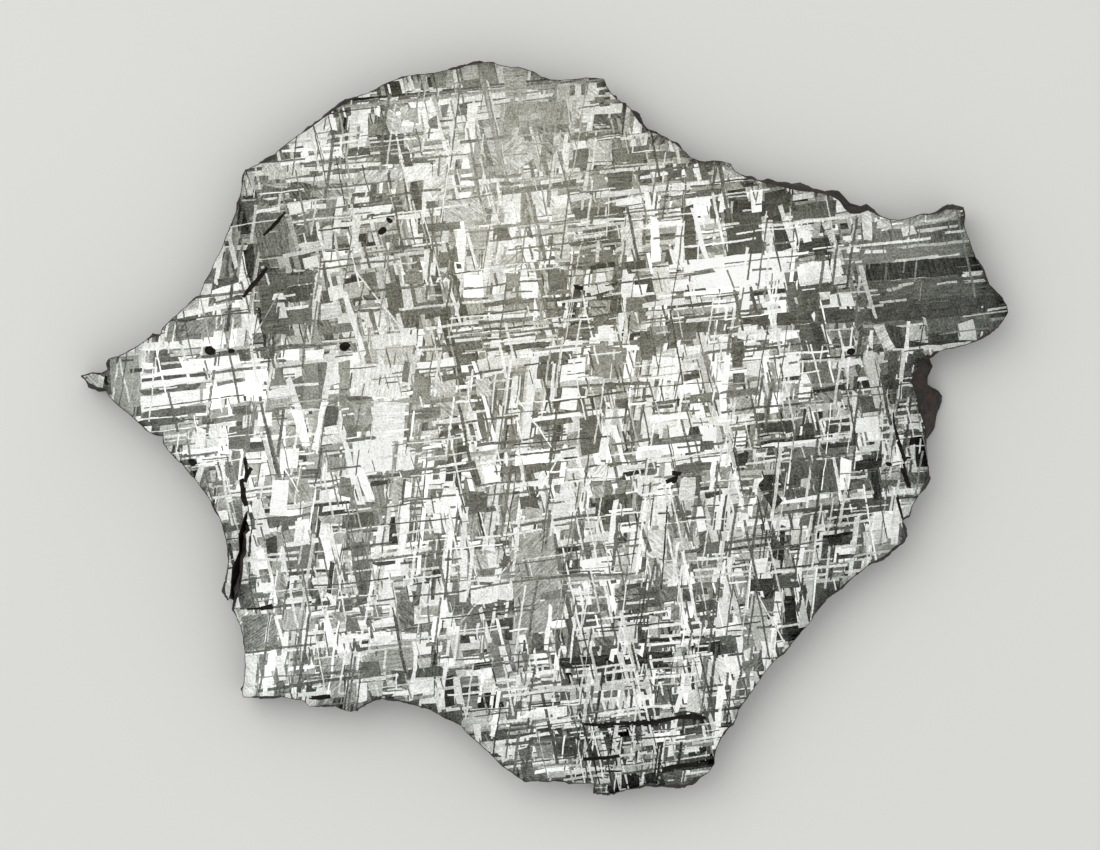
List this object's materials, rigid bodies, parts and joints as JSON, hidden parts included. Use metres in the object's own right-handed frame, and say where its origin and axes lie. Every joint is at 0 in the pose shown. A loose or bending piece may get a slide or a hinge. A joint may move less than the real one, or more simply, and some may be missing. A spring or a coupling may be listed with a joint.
{
  "type": "etched iron meteorite slice",
  "caption": "Flat irregular slab cut from an iron meteorite, with etched faces and a rough natural rim with a notch and a crack.",
  "frame": {"origin": "middle of the bottom of the bounding box, in the plane of the back face on which the slice lies", "axes": "+Z out of the front etched face, +X from the pointed left lobe to the broad right lobe, +Y towards the rounded top"},
  "size_m": [0.0618, 0.0494, 0.003],
  "materials": {
    "etched_iron": "etched"
  },
  "bodies": {
    "root": {"meteorite_slice": "etched_iron"}
  },
  "joints": []
}
